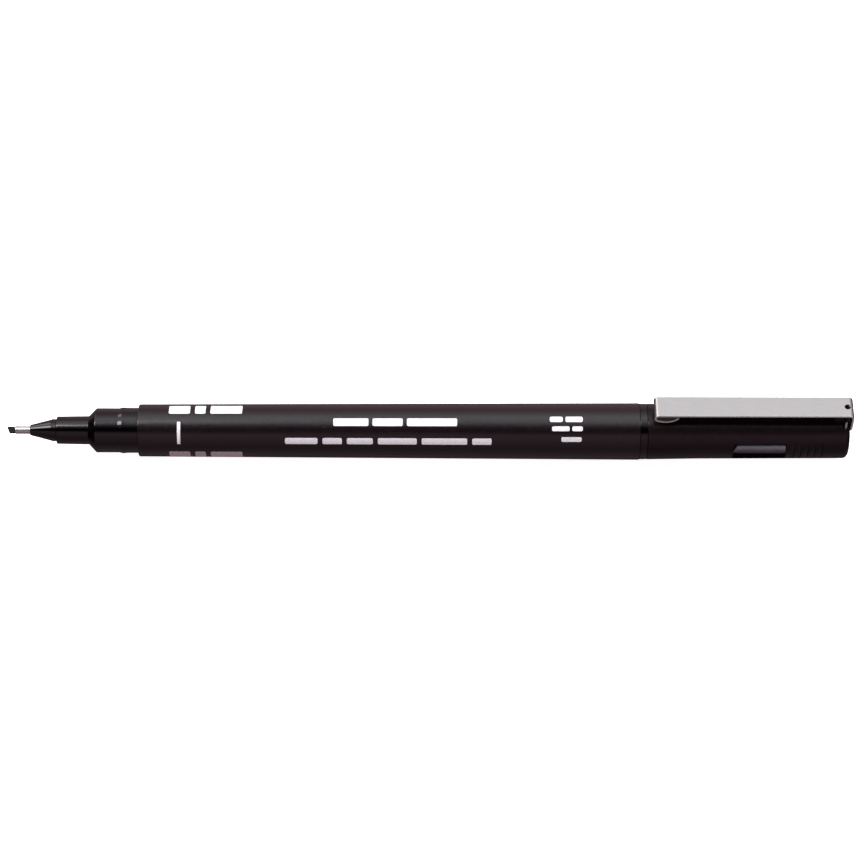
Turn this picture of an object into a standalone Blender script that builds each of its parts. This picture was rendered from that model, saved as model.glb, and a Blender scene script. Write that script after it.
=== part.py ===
"""Chisel-tip calligraphy marker, lying on its barrel with the cap posted on its tail.

The pen lies along X, nib at -X and cap at +X, with the clip straight up (+Z).
The origin is on the surface that the barrel lies on, under the middle of the pen.
Every piece hangs on the pen_axis empty: its local Z runs from the nib's tip
towards the cap, its local X points up to the clip and its local Y is world -Y.
A station is the distance from the nib's tip along that axis.
"""
import math

import bmesh
import bpy
from mathutils import Vector

MM = 0.001

# Stations of the joints between pieces, from the nib's tip.
FERRULE_FRONT = 1.55 * MM
CONE_FRONT = 4.31 * MM
COLLAR_FRONT = 8.30 * MM
NECK_FRONT = 9.26 * MM
SHOULDER_FRONT = 15.14 * MM
GRIP_FRONT = 16.54 * MM
BARREL_FRONT = 24.38 * MM
BARREL_REAR = 116.25 * MM
CAP_MOUTH = 117.67 * MM
CAP_WAIST = 126.67 * MM
CAP_END = 154.72 * MM
OVERALL_LENGTH = 154.95 * MM

# Outer radii.
NIB_RADIUS = 0.65 * MM
STEM_RADIUS = 0.36 * MM
FERRULE_RADIUS = 0.65 * MM
CONE_FRONT_RADIUS = 0.97 * MM
CONE_REAR_RADIUS = 1.99 * MM
COLLAR_RADIUS = 2.05 * MM
NECK_FRONT_RADIUS = 2.53 * MM
NECK_REAR_RADIUS = 2.61 * MM
GRIP_RADIUS = 4.07 * MM
SNAP_RING_RADIUS = 4.24 * MM
GRIP_REAR_RADIUS = 4.15 * MM
BARREL_FRONT_RADIUS = 4.81 * MM
BARREL_REAR_RADIUS = 5.24 * MM
TAIL_COLLAR_RADIUS = 5.13 * MM
CAP_MOUTH_RADIUS = 5.13 * MM
CAP_WAIST_RADIUS = 4.97 * MM
CAP_END_RADIUS = 4.83 * MM

# Fits between pieces.
PRESS_GAP = 0.05 * MM
FACE_GAP = 0.08 * MM
SNAP_RING_OFFSET = 2.93 * MM      # from the cap's mouth, at both ends of the pen
CAP_BORE_RADIUS = 4.35 * MM
BARREL_BORE_RADIUS = 3.90 * MM
TAIL_BORE_RADIUS = 4.35 * MM

# Nib.
NIB_EDGE_SLANT = 0.515 * MM       # how far the heel of the edge lies behind its tip
NIB_EDGE_THICKNESS = 0.16 * MM
NIB_ROOT_THICKNESS = 1.0 * MM
NIB_TURN = math.radians(35)       # the nib's broad side, from the clip's side

# Holder and section, inside.
FERRULE_REAR = 9.0 * MM
FERRULE_BORE_RADIUS = 0.42 * MM
HOLDER_REAR = 14.3 * MM
HOLDER_SPIGOT_RADIUS = 1.90 * MM
HOLDER_STEP = 9.1 * MM            # where the ferrule's bore widens to the wick's
SOCKET_REAR = 14.5 * MM
CHAMBER_FRONT = 17.5 * MM         # the section's bore widens to its chamber behind this
CHAMBER_FULL = 19.0 * MM
CHAMBER_RADIUS = 3.0 * MM
SECTION_REAR = 33.0 * MM

# Ink path.
STEM_REAR = 12.4 * MM
WICK_FRONT = 9.20 * MM
WICK_REAR = 38.0 * MM
WICK_RADIUS = 1.0 * MM
RESERVOIR_FRONT = 34.0 * MM
RESERVOIR_REAR = 105.0 * MM
RESERVOIR_RADIUS = 3.60 * MM
WRAPPER_THICKNESS = 0.15 * MM

# Tail plug, hollow from its front end.
TAIL_BORE_FRONT = 107.5 * MM
PLUG_GAP = 0.3 * MM               # behind the reservoir
PLUG_FRONT_RADIUS = 3.8 * MM
PLUG_HOLLOW_REAR = 122.5 * MM
PLUG_HOLLOW_RADIUS = 3.2 * MM
SPIGOT_RADIUS = 4.12 * MM
SPIGOT_LENGTH = 7.0 * MM

# Cap.
CAP_BORE_END = 152.0 * MM
LINER_FRONT = 126.5 * MM
LINER_REAR = 144.2 * MM
LINER_WALL = 0.8 * MM              # of its closed end, and the flange's length
LINER_BORE_RADIUS = 3.0 * MM
LINER_RADIUS = 3.35 * MM
CAP_INNER_RADIUS = 3.60 * MM      # bore behind the step that the liner stops at
RECESS_FRONT = 132.6 * MM         # recess on each side of the cap, around a half-round bar
RECESS_REAR = 143.0 * MM
RECESS_RAMP = 1.5 * MM
RECESS_FLOOR = 3.85 * MM          # height of its flat floor above the pen's axis
RECESS_HALF_WIDTH = 2.25 * MM
CAP_BRIM = 5.20 * MM              # just above the cap's surface
BAR_FRONT = 133.9 * MM
BAR_REAR = 142.82 * MM
BAR_RADIUS = 1.05 * MM
BAR_HEIGHT = 3.92 * MM            # of the bar's middle line above the pen's axis
BAR_OFFSET = 0.75 * MM            # of the bar's middle line towards the clip
GROOVE_COUNT = 5
GROOVE_PITCH = 1.27 * MM
GROOVE_WIDTH = 0.70 * MM
GROOVE_FRONT = 143.9 * MM
GROOVE_FLOOR = 4.32 * MM

# Clip: one strip of spring steel with a hook at the rear and a bowed foot in front.
CLIP_FRONT = 118.62 * MM
CLIP_HEIGHT = 7.93 * MM           # outer face above the pen's axis
CLIP_WIDTH = 4.35 * MM
CLIP_THICKNESS = 0.40 * MM
CLIP_REAR_BEND = 0.70 * MM        # bend radii are those of the strip's middle
CLIP_HOOK_BEND = 0.55 * MM
CLIP_FRONT_BEND = 0.65 * MM
CLIP_HOOK_BOTTOM = 3.50 * MM
CLIP_HOOK_TOP = 6.00 * MM
CLIP_FRONT_DROP = 0.05 * MM
CLIP_FOOT_BEND = 0.80 * MM
CLIP_FOOT_TURN = math.radians(62)
CLIP_BOW_RADIUS = 2.97 * MM
CLIP_BOW_TURN = math.radians(80)
CLIP_HOLE_STATION = 153.75 * MM
CLIP_HOLE_RADIUS = 0.55 * MM
HINGE_STATION = 154.2 * MM
HINGE_HEIGHT = 4.05 * MM
SLOT_FRONT = 153.2 * MM
SLOT_FLOOR = 3.0 * MM
SLOT_HALF_WIDTH = 2.37 * MM
LIP_THICKNESS = 0.44 * MM         # bar across the slot that the hook holds on to
LIP_BOTTOM = 3.95 * MM
LIP_TOP = 4.30 * MM
LIP_HALF_WIDTH = 2.55 * MM
SEAT_FRONT = 151.5 * MM           # block under the clip's rear end
SEAT_REAR = 153.1 * MM
SEAT_HALF_WIDTH = 1.50 * MM
SEAT_BOTTOM = 4.20 * MM
SEAT_GAP = 0.35 * MM

# Facets round a turned piece. One of the barrel's flats faces down.
FINE = 36
MEDIUM = 32
SMALL = 24
AXIS_HEIGHT = BARREL_REAR_RADIUS * math.cos(math.pi / FINE)

PARTS = "calligraphy_marker"
CUTTERS = "marker_cutters"


def clear_scene():
    for thing in list(bpy.data.objects):
        bpy.data.objects.remove(thing, do_unlink=True)


def make_collection(name):
    collection = bpy.data.collections.new(name)
    bpy.context.scene.collection.children.link(collection)
    return collection


def make_material(name, colour, roughness, metallic=0.0):
    material = bpy.data.materials.new(name)
    material.use_nodes = True
    shader = material.node_tree.nodes["Principled BSDF"]
    shader.inputs["Base Color"].default_value = (*colour, 1.0)
    shader.inputs["Roughness"].default_value = roughness
    shader.inputs["Metallic"].default_value = metallic
    return material


def make_object(name, mesh, collection, parent, station=0.0, height=0.0):
    """Put a mesh on the pen's axis, or above it, at a station."""
    thing = bpy.data.objects.new(name, mesh)
    collection.objects.link(thing)
    thing.parent = parent
    thing.location = (height, 0.0, station)
    return thing


def make_cutter(thing):
    thing.hide_render = True
    thing.display_type = "WIRE"
    return thing


def fillet(before, corner, after, radius, steps=2):
    """Points of an arc that rounds a corner of an outline."""
    back = (Vector(before) - Vector(corner)).normalized()
    ahead = (Vector(after) - Vector(corner)).normalized()
    half_angle = back.angle(ahead) / 2
    bisector = (back + ahead).normalized()
    centre = Vector(corner) + bisector * (radius / math.sin(half_angle))
    start = Vector(corner) + back * (radius / math.tan(half_angle)) - centre
    end = Vector(corner) + ahead * (radius / math.tan(half_angle)) - centre
    sweep = start.angle(end)
    points = []
    for step in range(steps + 1):
        share = step / steps
        spoke = start * math.sin((1 - share) * sweep) + end * math.sin(share * sweep)
        points.append(tuple(centre + spoke / math.sin(sweep)))
    return points


def rounded_outline(corners):
    """Turn (station, radius[, rounding]) corners into plain outline points."""
    points = []
    for index, corner in enumerate(corners):
        if len(corner) == 2:
            points.append(corner)
            continue
        before = corners[index - 1][:2]
        after = corners[index + 1][:2]
        points.extend(fillet(before, corner[:2], after, corner[2]))
    return points


def turned(name, corners, steps, collection, parent, material=None):
    """A turned piece. Its corners run from front to rear along the outer side.

    An outline that starts and ends on the axis is solid there. Any other outline
    is a closed loop that comes back along the bore. The outline starts half a facet
    round, so that a flat faces straight down.
    """
    origin = min(corner[0] for corner in corners)
    outline = rounded_outline(corners)
    outline.reverse()
    closed = outline[0][1] > 0 or outline[-1][1] > 0
    shape = bmesh.new()
    half_facet = math.pi / steps
    verts = [shape.verts.new((radius * math.cos(half_facet), radius * math.sin(half_facet),
                              station - origin)) for station, radius in outline]
    for first, second in zip(verts, verts[1:]):
        shape.edges.new((first, second))
    if closed:
        shape.edges.new((verts[-1], verts[0]))
    mesh = bpy.data.meshes.new(name)
    shape.to_mesh(mesh)
    shape.free()
    thing = make_object(name, mesh, collection, parent, station=origin)
    screw = thing.modifiers.new("turn", "SCREW")
    screw.axis = "Z"
    screw.angle = math.tau
    screw.steps = steps
    screw.render_steps = steps
    screw.use_merge_vertices = True
    screw.merge_threshold = 0.000001
    screw.use_smooth_shade = True
    if material:
        mesh.materials.append(material)
    return thing


def add_box(shape, corner, opposite, ramp=0.0):
    """Add a box to a bmesh. A ramp moves the inner edge of its front end back."""
    box = bmesh.ops.create_cube(shape, size=1.0)
    middle = (Vector(corner) + Vector(opposite)) / 2
    size = Vector(opposite) - Vector(corner)
    for vert in box["verts"]:
        is_front = vert.co.z < 0
        vert.co = middle + Vector(vert.co[i] * abs(size[i]) for i in range(3))
        if is_front and abs(vert.co.y) < abs(middle.y):
            vert.co.z += ramp


def add_rod(shape, radius, low, high, centre, steps=20):
    """Add a round rod along the pen to a bmesh, centred on (x, y)."""
    rod = bmesh.ops.create_cone(
        shape, cap_ends=True, segments=steps, radius1=radius, radius2=radius, depth=high - low)
    for vert in rod["verts"]:
        vert.co += Vector((centre[0], centre[1], (low + high) / 2))


def finish_mesh(name, shape):
    bmesh.ops.recalc_face_normals(shape, faces=shape.faces)
    mesh = bpy.data.meshes.new(name)
    shape.to_mesh(mesh)
    shape.free()
    return mesh


def boolean(thing, other, operation):
    modifier = thing.modifiers.new(operation.lower() + "_" + other.name, "BOOLEAN")
    modifier.operation = operation
    modifier.solver = "EXACT"
    modifier.object = other


def make_nib(parts, cutters, axis, material):
    """Rod with a round head, thinned from both sides and cut off at a slant."""
    head_rear = FERRULE_FRONT - PRESS_GAP
    nib = turned("nib", [
        (0.0, 0.0),
        (0.0, NIB_RADIUS),
        (head_rear, NIB_RADIUS, 0.1 * MM),
        (head_rear, STEM_RADIUS),
        (STEM_REAR, STEM_RADIUS),
        (STEM_REAR, 0.0),
    ], SMALL, parts, axis, material)
    nib.rotation_euler.z = NIB_TURN
    reach = 2 * MM
    flank_tilt = math.atan((NIB_ROOT_THICKNESS - NIB_EDGE_THICKNESS) / 2 / head_rear)
    for side in (-1, 1):
        shape = bmesh.new()
        add_box(shape, (0.0, -reach, -reach), (reach, reach, reach))
        flank = make_object("nib_flank", finish_mesh("nib_flank", shape), cutters, nib)
        flank.location.x = side * NIB_EDGE_THICKNESS / 2
        flank.rotation_euler = (0.0, flank_tilt, math.pi if side < 0 else 0.0)
        boolean(nib, make_cutter(flank), "DIFFERENCE")
    shape = bmesh.new()
    add_box(shape, (-reach, -reach, -reach), (reach, reach, 0.0))
    slant = make_object("nib_slant", finish_mesh("nib_slant", shape), cutters, nib)
    slant.location = (0.0, -NIB_RADIUS, 0.0)
    slant.rotation_euler.x = math.atan(NIB_EDGE_SLANT / (2 * NIB_RADIUS))
    boolean(nib, make_cutter(slant), "DIFFERENCE")


def make_front(parts, axis, metal, gloss):
    """Ferrule, nib holder and section."""
    turned("ferrule", [
        (FERRULE_FRONT, FERRULE_BORE_RADIUS),
        (FERRULE_FRONT, FERRULE_RADIUS, 0.08 * MM),
        (FERRULE_REAR, FERRULE_RADIUS),
        (FERRULE_REAR, FERRULE_BORE_RADIUS),
    ], SMALL, parts, axis, metal)
    ferrule_bore = FERRULE_RADIUS + PRESS_GAP
    wick_bore = WICK_RADIUS + 2 * PRESS_GAP
    turned("nib_holder", [
        (CONE_FRONT, ferrule_bore),
        (CONE_FRONT, CONE_FRONT_RADIUS, 0.12 * MM),
        (COLLAR_FRONT, CONE_REAR_RADIUS),
        (COLLAR_FRONT, COLLAR_RADIUS, 0.03 * MM),
        (NECK_FRONT - FACE_GAP, COLLAR_RADIUS),
        (NECK_FRONT - FACE_GAP, HOLDER_SPIGOT_RADIUS),
        (HOLDER_REAR, HOLDER_SPIGOT_RADIUS, 0.15 * MM),
        (HOLDER_REAR, wick_bore),
        (HOLDER_STEP, wick_bore),
        (HOLDER_STEP, ferrule_bore),
    ], MEDIUM, parts, axis, gloss)
    ring = BARREL_FRONT - SNAP_RING_OFFSET
    socket = HOLDER_SPIGOT_RADIUS + PRESS_GAP
    spigot = BARREL_BORE_RADIUS - PRESS_GAP
    turned("section", [
        (NECK_FRONT, socket),
        (NECK_FRONT, NECK_FRONT_RADIUS, 0.12 * MM),
        (SHOULDER_FRONT, NECK_REAR_RADIUS),
        (GRIP_FRONT, GRIP_RADIUS, 0.15 * MM),
        (ring - 0.65 * MM, GRIP_RADIUS),
        (ring, SNAP_RING_RADIUS),
        (ring + 0.65 * MM, GRIP_REAR_RADIUS),
        (BARREL_FRONT - FACE_GAP, GRIP_REAR_RADIUS),
        (BARREL_FRONT - FACE_GAP, spigot),
        (SECTION_REAR, spigot, 0.25 * MM),
        (SECTION_REAR, CHAMBER_RADIUS),
        (CHAMBER_FULL, CHAMBER_RADIUS),
        (CHAMBER_FRONT, wick_bore + PRESS_GAP),
        (SOCKET_REAR, wick_bore + PRESS_GAP),
        (SOCKET_REAR, socket),
    ], FINE, parts, axis, gloss)


def make_ink_path(parts, axis, fibre, wick_fibre, film):
    """Wick, reservoir and the film sleeve around the reservoir."""
    stem_bore = STEM_RADIUS + 2 * PRESS_GAP
    turned("feed_wick", [
        (STEM_REAR + 0.2 * MM, 0.0),
        (STEM_REAR + 0.2 * MM, stem_bore),
        (WICK_FRONT, stem_bore),
        (WICK_FRONT, WICK_RADIUS),
        (WICK_REAR, WICK_RADIUS, 0.2 * MM),
        (WICK_REAR, 0.0),
    ], SMALL, parts, axis, wick_fibre)
    wick_bore = WICK_RADIUS + 2 * PRESS_GAP
    turned("ink_reservoir", [
        (WICK_REAR + 0.4 * MM, 0.0),
        (WICK_REAR + 0.4 * MM, wick_bore),
        (RESERVOIR_FRONT, wick_bore),
        (RESERVOIR_FRONT, RESERVOIR_RADIUS),
        (RESERVOIR_REAR, RESERVOIR_RADIUS),
        (RESERVOIR_REAR, 0.0),
    ], MEDIUM, parts, axis, fibre)
    film_bore = RESERVOIR_RADIUS + PRESS_GAP
    turned("reservoir_wrapper", [
        (RESERVOIR_FRONT, film_bore),
        (RESERVOIR_FRONT, film_bore + WRAPPER_THICKNESS),
        (RESERVOIR_REAR, film_bore + WRAPPER_THICKNESS),
        (RESERVOIR_REAR, film_bore),
    ], MEDIUM, parts, axis, film)


def make_barrel(parts, axis, satin, gloss):
    """Barrel tube, and the plug that closes it and carries the posted cap."""
    turned("barrel", [
        (BARREL_FRONT, BARREL_BORE_RADIUS),
        (BARREL_FRONT, BARREL_FRONT_RADIUS, 0.2 * MM),
        (BARREL_REAR, BARREL_REAR_RADIUS, 0.12 * MM),
        (BARREL_REAR, TAIL_BORE_RADIUS),
        (TAIL_BORE_FRONT, TAIL_BORE_RADIUS),
        (TAIL_BORE_FRONT - 0.5 * MM, BARREL_BORE_RADIUS),
    ], FINE, parts, axis, satin)
    plug = TAIL_BORE_RADIUS - PRESS_GAP
    ring = CAP_MOUTH + SNAP_RING_OFFSET
    plug_front = RESERVOIR_REAR + PLUG_GAP
    spigot_end = CAP_MOUTH + SPIGOT_LENGTH
    turned("tail_plug", [
        (PLUG_HOLLOW_REAR, 0.0),
        (PLUG_HOLLOW_REAR, PLUG_HOLLOW_RADIUS),
        (plug_front, PLUG_HOLLOW_RADIUS),
        (plug_front, PLUG_FRONT_RADIUS),
        (TAIL_BORE_FRONT - 0.4 * MM, PLUG_FRONT_RADIUS),
        (TAIL_BORE_FRONT + 0.5 * MM, plug),
        (BARREL_REAR + FACE_GAP, plug),
        (BARREL_REAR + FACE_GAP, TAIL_COLLAR_RADIUS),
        (CAP_MOUTH - FACE_GAP, TAIL_COLLAR_RADIUS - 0.02 * MM),
        (CAP_MOUTH - FACE_GAP, SPIGOT_RADIUS),
        (ring - 0.5 * MM, SPIGOT_RADIUS),
        (ring, SNAP_RING_RADIUS),
        (ring + 0.5 * MM, SPIGOT_RADIUS),
        (spigot_end, SPIGOT_RADIUS, 0.3 * MM),
        (spigot_end, 0.0),
    ], FINE, parts, axis, gloss)


def make_cap(parts, cutters, travel, satin):
    """Outer cap: both side recesses, the clip's seat and slot, then the bore."""
    rim = CAP_END - 0.25 * MM
    cap = turned("cap", [
        (CAP_MOUTH, 0.0),
        (CAP_MOUTH, CAP_MOUTH_RADIUS, 0.1 * MM),
        (CAP_WAIST, CAP_WAIST_RADIUS),
        (rim, CAP_END_RADIUS, 0.9 * MM),
        (CAP_END - 0.08 * MM, 3.0 * MM),
        (CAP_END, 2.0 * MM),
        (CAP_END, 0.0),
    ], FINE, parts, travel, satin)
    cap.location.z = 0.0
    beyond = 8 * MM

    relief = bmesh.new()
    for side in (-1, 1):
        add_box(relief, (-RECESS_HALF_WIDTH, side * RECESS_FLOOR, RECESS_FRONT - CAP_MOUTH),
                (RECESS_HALF_WIDTH, side * CAP_BRIM, RECESS_REAR - CAP_MOUTH), ramp=RECESS_RAMP)
        for index in range(GROOVE_COUNT):
            front = GROOVE_FRONT + index * GROOVE_PITCH - CAP_MOUTH
            add_box(relief, (-RECESS_HALF_WIDTH, side * GROOVE_FLOOR, front),
                    (RECESS_HALF_WIDTH, side * CAP_BRIM, front + GROOVE_WIDTH))
    add_box(relief, (SLOT_FLOOR, -SLOT_HALF_WIDTH, SLOT_FRONT - CAP_MOUTH),
            (beyond, SLOT_HALF_WIDTH, CAP_END + beyond - CAP_MOUTH))
    relief_cutter = make_object("cap_relief", finish_mesh("cap_relief", relief), cutters, travel)
    boolean(cap, make_cutter(relief_cutter), "DIFFERENCE")

    added = bmesh.new()
    for side in (-1, 1):
        add_rod(added, BAR_RADIUS, BAR_FRONT - CAP_MOUTH, BAR_REAR - CAP_MOUTH,
                (BAR_OFFSET, side * BAR_HEIGHT))
    seat_top = CLIP_HEIGHT - CLIP_THICKNESS - SEAT_GAP
    add_box(added, (SEAT_BOTTOM, -SEAT_HALF_WIDTH, SEAT_FRONT - CAP_MOUTH),
            (seat_top, SEAT_HALF_WIDTH, SEAT_REAR - CAP_MOUTH))
    lip_half = LIP_THICKNESS / 2
    add_box(added, (LIP_BOTTOM, -LIP_HALF_WIDTH, HINGE_STATION - lip_half - CAP_MOUTH),
            (LIP_TOP, LIP_HALF_WIDTH, HINGE_STATION + lip_half - CAP_MOUTH))
    added_shape = make_object("cap_added", finish_mesh("cap_added", added), cutters, travel)
    boolean(cap, make_cutter(added_shape), "UNION")

    groove = CAP_MOUTH + SNAP_RING_OFFSET
    step = LINER_FRONT - 0.3 * MM
    bore = turned("cap_bore", [
        (CAP_MOUTH - 1.0 * MM, 0.0),
        (CAP_MOUTH - 1.0 * MM, CAP_BORE_RADIUS),
        (groove - 0.6 * MM, CAP_BORE_RADIUS),
        (groove - 0.25 * MM, CAP_BORE_RADIUS + 0.13 * MM),
        (groove + 0.25 * MM, CAP_BORE_RADIUS + 0.13 * MM),
        (groove + 0.6 * MM, CAP_BORE_RADIUS),
        (step, CAP_BORE_RADIUS),
        (step + 0.5 * MM, CAP_INNER_RADIUS),
        (CAP_BORE_END, CAP_INNER_RADIUS, 0.5 * MM),
        (CAP_BORE_END, 0.0),
    ], FINE, cutters, travel)
    bore.location.z = -1.0 * MM
    boolean(cap, make_cutter(bore), "DIFFERENCE")


def make_liner(parts, travel, liner_plastic):
    """Inner cap, whose rim seals against the section's shoulder."""
    flange = CAP_INNER_RADIUS - PRESS_GAP
    liner = turned("inner_cap", [
        (LINER_REAR - LINER_WALL, 0.0),
        (LINER_REAR - LINER_WALL, LINER_BORE_RADIUS),
        (LINER_FRONT, LINER_BORE_RADIUS),
        (LINER_FRONT, LINER_RADIUS, 0.1 * MM),
        (LINER_FRONT + LINER_WALL, LINER_RADIUS),
        (LINER_FRONT + LINER_WALL, flange),
        (LINER_FRONT + 2 * LINER_WALL, flange),
        (LINER_FRONT + 2 * LINER_WALL, LINER_RADIUS),
        (LINER_REAR, LINER_RADIUS, 0.3 * MM),
        (LINER_REAR, 0.0),
    ], MEDIUM, parts, travel, liner_plastic)
    liner.location.z = LINER_FRONT - CAP_MOUTH


def strip_path(start, heading, bends, steps=5):
    """Middle line of a bent strip: (straight length, turn, bend radius) in order."""
    place = Vector(start)
    points = [place.copy()]
    for length, turn, radius in bends:
        place = place + length * Vector((math.sin(heading), math.cos(heading)))
        if length > 0:
            points.append(place.copy())
        centre = place + radius * Vector((math.cos(heading), -math.sin(heading)))
        for step in range(1, steps + 1):
            angle = heading - turn * step / steps
            points.append(centre - radius * Vector((math.cos(angle), -math.sin(angle))))
        place = points[-1]
        heading -= turn
    return points


def make_clip(parts, cutters, hinge, steel):
    """Bent strip, from the hook in the cap's slot over the rear bend to the foot."""
    half = CLIP_THICKNESS / 2
    quarter = math.pi / 2
    arm_height = CLIP_HEIGHT - half
    tab_station = OVERALL_LENGTH - half
    hook_height = CLIP_HOOK_BOTTOM + CLIP_HOOK_BEND
    tab_top = arm_height - CLIP_REAR_BEND
    arm_rear = tab_station - CLIP_REAR_BEND
    arm_front = CLIP_FRONT + half + CLIP_FRONT_BEND
    path = strip_path(
        (CLIP_HOOK_TOP, tab_station - 2 * CLIP_HOOK_BEND), -quarter, [
            (CLIP_HOOK_TOP - hook_height, -2 * quarter, CLIP_HOOK_BEND),
            (tab_top - hook_height, -quarter, CLIP_REAR_BEND),
            (arm_rear - arm_front, -quarter, CLIP_FRONT_BEND),
            (CLIP_FRONT_DROP, -CLIP_FOOT_TURN, CLIP_FOOT_BEND),
            (0.0, -CLIP_BOW_TURN, CLIP_BOW_RADIUS),
        ])
    shape = bmesh.new()
    rows = []
    for height, station in path:
        row = [shape.verts.new((height - HINGE_HEIGHT, side * CLIP_WIDTH / 2, station - HINGE_STATION))
               for side in (-1, 1)]
        rows.append(row)
    for first, second in zip(rows, rows[1:]):
        shape.faces.new((first[0], first[1], second[1], second[0]))
    clip = make_object("clip", finish_mesh("clip", shape), parts, hinge)
    clip.data.materials.append(steel)
    sheet = clip.modifiers.new("thickness", "SOLIDIFY")
    sheet.thickness = CLIP_THICKNESS
    sheet.offset = 0.0
    sheet.use_even_offset = True
    hole = bmesh.new()
    add_rod(hole, CLIP_HOLE_RADIUS, -1.0 * MM, 1.0 * MM, (0.0, 0.0))
    cutter = make_object("clip_hole", finish_mesh("clip_hole", hole), cutters, hinge)
    cutter.location = (arm_height - HINGE_HEIGHT, 0.0, CLIP_HOLE_STATION - HINGE_STATION)
    cutter.rotation_euler.y = quarter
    boolean(clip, make_cutter(cutter), "DIFFERENCE")


def make_empty(name, collection, parent=None, location=(0.0, 0.0, 0.0)):
    empty = bpy.data.objects.new(name, None)
    empty.empty_display_size = 5 * MM
    collection.objects.link(empty)
    empty.parent = parent
    empty.location = location
    return empty


def main():
    clear_scene()
    parts = make_collection(PARTS)
    cutters = make_collection(CUTTERS)

    satin = make_material("satin_black", (0.020, 0.013, 0.016), 0.42)
    cap_satin = make_material("cap_black", (0.016, 0.010, 0.012), 0.38)
    gloss = make_material("gloss_black", (0.008, 0.006, 0.007), 0.15)
    nib_black = make_material("inked_nib", (0.020, 0.014, 0.016), 0.55)
    ferrule_steel = make_material("ferrule_steel", (0.62, 0.61, 0.60), 0.22, 1.0)
    clip_steel = make_material("clip_steel", (0.66, 0.65, 0.66), 0.34, 1.0)
    inked_fibre = make_material("inked_fibre", (0.03, 0.03, 0.035), 0.9)
    wick_fibre = make_material("wick_fibre", (0.05, 0.05, 0.055), 0.8)
    clear_film = make_material("clear_film", (0.75, 0.77, 0.80), 0.2)
    liner_white = make_material("liner_white", (0.70, 0.70, 0.68), 0.4)

    axis = make_empty("pen_axis", parts, location=(-OVERALL_LENGTH / 2, 0.0, AXIS_HEIGHT))
    axis.rotation_euler = (math.pi, -math.pi / 2, 0.0)
    travel = make_empty("cap_travel", parts, axis, (0.0, 0.0, CAP_MOUTH))
    hinge = make_empty("clip_hinge", parts, travel,
                       (HINGE_HEIGHT, 0.0, HINGE_STATION - CAP_MOUTH))

    make_nib(parts, cutters, axis, nib_black)
    make_front(parts, axis, ferrule_steel, gloss)
    make_ink_path(parts, axis, inked_fibre, wick_fibre, clear_film)
    make_barrel(parts, axis, satin, gloss)
    make_cap(parts, cutters, travel, cap_satin)
    make_liner(parts, travel, liner_white)
    make_clip(parts, cutters, hinge, clip_steel)


main()
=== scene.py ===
"""Looks of the chisel-tip calligraphy marker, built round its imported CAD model.

The pen lies along X with its nib at -X, the posted cap at +X and the clip up.
Every outline is written in millimetres in the pen's own frame: a station is the
distance from the nib's tip towards the cap, and a radius or a height is measured
from the pen's axis. Directions round the pen are angles above the horizontal on
the side that faces the camera (-Y): 0 degrees is -Y and 90 degrees is up.
"""

import math

import bmesh
import bpy
from mathutils import Matrix, Vector


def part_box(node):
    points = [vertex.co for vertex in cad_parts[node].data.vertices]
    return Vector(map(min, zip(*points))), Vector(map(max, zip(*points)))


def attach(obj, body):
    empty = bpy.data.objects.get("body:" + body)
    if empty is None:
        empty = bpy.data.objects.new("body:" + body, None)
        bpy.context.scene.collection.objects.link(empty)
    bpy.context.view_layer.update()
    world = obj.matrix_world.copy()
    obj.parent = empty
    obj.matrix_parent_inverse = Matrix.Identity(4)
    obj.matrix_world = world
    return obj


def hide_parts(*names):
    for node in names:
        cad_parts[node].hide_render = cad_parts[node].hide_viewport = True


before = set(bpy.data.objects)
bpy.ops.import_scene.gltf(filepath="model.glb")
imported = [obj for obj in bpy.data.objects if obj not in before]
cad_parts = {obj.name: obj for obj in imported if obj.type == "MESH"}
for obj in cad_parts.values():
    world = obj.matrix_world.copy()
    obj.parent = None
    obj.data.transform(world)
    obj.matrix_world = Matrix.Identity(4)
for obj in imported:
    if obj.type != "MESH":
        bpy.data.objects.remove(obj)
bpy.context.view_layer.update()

MM = 0.001
RIGHT_ANGLE = math.pi / 2

# Where the CAD model puts the pen.
TIP_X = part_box("nib")[0][0]
BARREL_LOW, BARREL_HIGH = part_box("barrel")
AXIS_Z = (BARREL_LOW[2] + BARREL_HIGH[2]) / 2
PEN_FRAME = Matrix((
    (0, 0, MM, TIP_X),
    (0, -MM, 0, 0),
    (MM, 0, 0, AXIS_Z),
    (0, 0, 0, 1)))


def span(node):
    """Front and rear station of a CAD node."""
    low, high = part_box(node)
    return (low[0] - TIP_X) / MM, (high[0] - TIP_X) / MM


FERRULE_FRONT, FERRULE_REAR = span("ferrule")
CONE_FRONT = span("nib_holder")[0]
NECK_FRONT = span("section")[0]
BARREL_FRONT, BARREL_REAR = span("barrel")
PLUG_FRONT, SPIGOT_REAR = span("tail_plug")
CAP_MOUTH, CAP_END = span("cap")
CLIP_FRONT, CLIP_REAR = span("clip")
CLIP_WIDTH = (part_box("clip")[1][1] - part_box("clip")[0][1]) / MM
CLIP_HEIGHT = (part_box("clip")[1][2] - AXIS_Z) / MM
STEM_REAR = span("nib")[1]

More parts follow.
